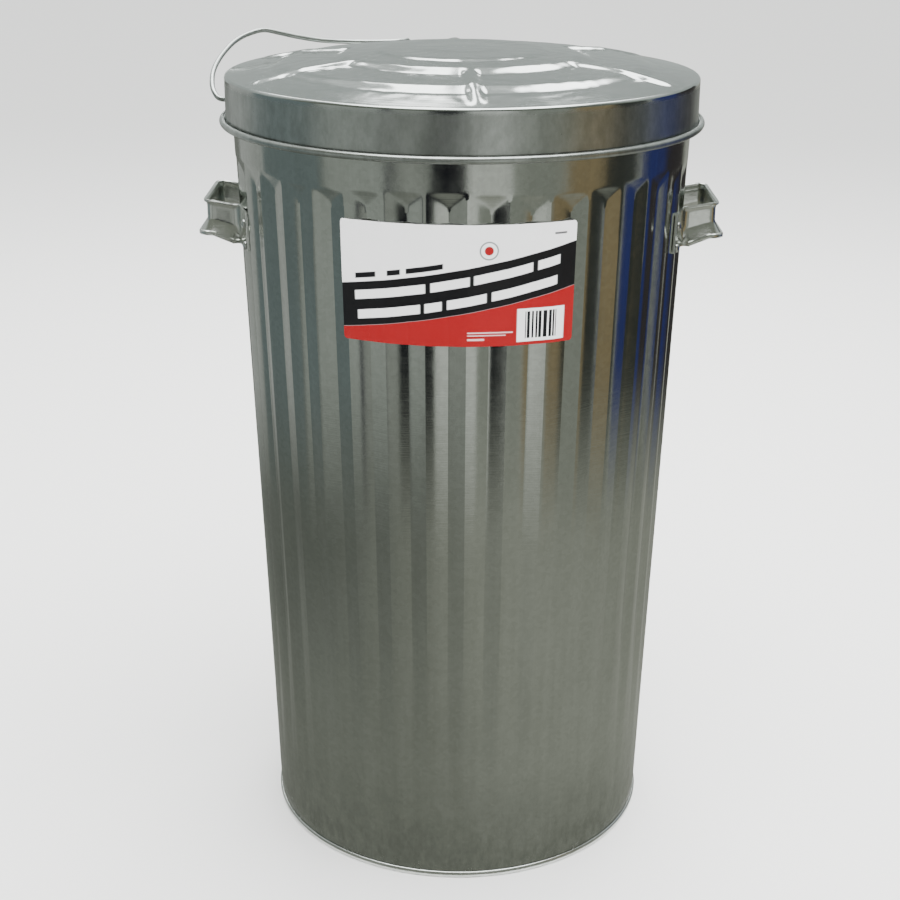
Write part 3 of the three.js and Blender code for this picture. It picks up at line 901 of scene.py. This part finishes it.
def build_cards():
    """Cards of even tone round the can, a plain one on the floor and a bright dome over them."""
    spans = [
        ("card_dark_front", -15, 2.6, (0.012, 0.013, 0.018)),
        ("card_white_front", 3, 25, (0.84, 0.86, 0.82)),
        ("card_grey_front", 25, 51, (0.33, 0.35, 0.31)),
        ("card_warm", 54, 76, (0.33, 0.26, 0.15)),
        ("card_dark_right", 76, 98, (0.05, 0.055, 0.05)),
        ("card_cool", 102, 124, (0.04, 0.052, 0.2)),
        ("card_dark_back", 124, 150, (0.05, 0.045, 0.045)),
        ("card_thin_left", -38, -33, (0.1, 0.1, 0.11)),
        ("card_grey_mid_left", -33, -15, (0.38, 0.4, 0.37)),
        ("card_grey_left", -72, -38, (0.44, 0.47, 0.44)),
        ("card_slate_left", -118, -74, (0.2, 0.245, 0.25)),
        ("card_pale_left", -150, -118, (0.5, 0.52, 0.5)),
    ]

    def card_tone(glow):
        def glow_at(tree, place):
            level = {0: place, 1: (1, 1, 0)}
            flat = add(tree, "ShaderNodeVectorMath", level, operation="MULTIPLY").outputs[0]
            radius = add(tree, "ShaderNodeVectorMath", {0: flat}, operation="LENGTH").outputs[1]
            return mixed(tree, remap(tree, radius, *CARD_FADE, 0, 1), floor_tone(tree, place), glow)

        return glow_at

    for name, start, end, glow in spans:
        sheet = sector_sheet(CARD_PROFILE, card_azimuth(start), card_azimuth(end))
        only_reflected(*sheet, name, card_tone(glow))
    flat = [(FLOOR_CARD[edge], FLOOR_CARD["height"]) for edge in ("inner", "outer")]
    only_reflected(*sector_sheet(flat, 0, 360), "card_floor", floor_tone)

    def ramp(tree, value, low, high, falling=False):
        ends = (1, 0) if falling else (0, 1)
        return remap(tree, value, low * DOME["radius"], high * DOME["radius"], *ends)

    def dome_tone(tree, place):
        across, depth, height = add(tree, "ShaderNodeSeparateXYZ", {0: place}).outputs
        behind = ramp(tree, depth, *DOME["behind"])
        share = maths(tree, "MULTIPLY", ramp(tree, height, *DOME["lamp_heights"]), behind)
        lit, edge = DOME["between_lamps"], DOME["lamp_edge"]
        for low, high in DOME["lamps"]:
            start = ramp(tree, across, low - edge, low + edge)
            end = ramp(tree, across, high - edge, high + edge, falling=True)
            lit = maths(tree, "MULTIPLY_ADD", start, end, lit)
        share = maths(tree, "MULTIPLY", share, lit)
        share = maths(tree, "MAXIMUM", share, ramp(tree, height, *DOME["overhead"]))
        low = mixed(tree, behind, DOME["front_tone"], DOME["back_tone"])
        return mixed(tree, share, low, DOME["lamp_tone"])

    elevations = np.radians(np.linspace(0, 89, 24))
    dome = [(DOME["radius"] * math.cos(e), DOME["radius"] * math.sin(e)) for e in elevations]
    only_reflected(*sector_sheet(dome, 0, 360, 6), "card_dome", dome_tone)


def area_light(name, place, target, size, power):
    data = bpy.data.lights.new(name, "AREA")
    data.shape = "RECTANGLE"
    data.size, data.size_y = size
    data.energy = power
    light = bpy.data.objects.new(name, data)
    light.location = place
    aim = Vector(target) - Vector(place)
    light.rotation_euler = aim.to_track_quat("-Z", "Y").to_euler()
    light.visible_camera = False
    light.visible_glossy = False
    bpy.context.scene.collection.objects.link(light)


def build_world():
    """Soft even room light, a little stronger from behind the can."""
    world = bpy.data.worlds.new("studio")
    bpy.context.scene.world = world
    world.use_nodes = True
    tree = world.node_tree
    tree.nodes.clear()
    way = add(tree, "ShaderNodeTexCoord").outputs["Generated"]
    y = add(tree, "ShaderNodeSeparateXYZ", {0: way}).outputs[1]
    color = mixed(tree, remap(tree, y, -0.6, 0.6, 0, 1), (1.5, 1.52, 1.5), (1.9, 1.92, 1.91))
    background = add(tree, "ShaderNodeBackground", {"Color": color, "Strength": 1.0})
    output = add(tree, "ShaderNodeOutputWorld")
    tree.links.new(background.outputs[0], output.inputs[0])


CAMERA = dict(place=(0, -1.560, 0.958), pitch=20.49, yaw=-0.351, roll=0.275, lens=66.28)


def build_camera():
    pitch, yaw, roll = (math.radians(CAMERA[k]) for k in ("pitch", "yaw", "roll"))
    forward = Vector((math.sin(yaw) * math.cos(pitch), math.cos(yaw) * math.cos(pitch), -math.sin(pitch)))
    right = Vector((math.cos(yaw), -math.sin(yaw), 0))
    up = right.cross(forward)
    right, up = (
        right * math.cos(roll) + up * math.sin(roll),
        up * math.cos(roll) - right * math.sin(roll),
    )
    data = bpy.data.cameras.new("camera")
    data.lens = CAMERA["lens"]
    data.sensor_width = 36
    camera = bpy.data.objects.new("camera", data)
    turn = Matrix((right, up, -forward)).transposed().to_4x4()
    camera.matrix_world = Matrix.Translation(CAMERA["place"]) @ turn
    bpy.context.scene.collection.objects.link(camera)
    bpy.context.scene.camera = camera


build_floor()
build_cards()
build_world()
area_light("overhead", (0.35, -0.5, 2.6), (0, 0, 0.6), (2.2, 1.6), 130)
area_light("backlight", (0.2, 1.9, 2.4), (0, 0, 0.6), (2.4, 1.2), 90)
build_camera()
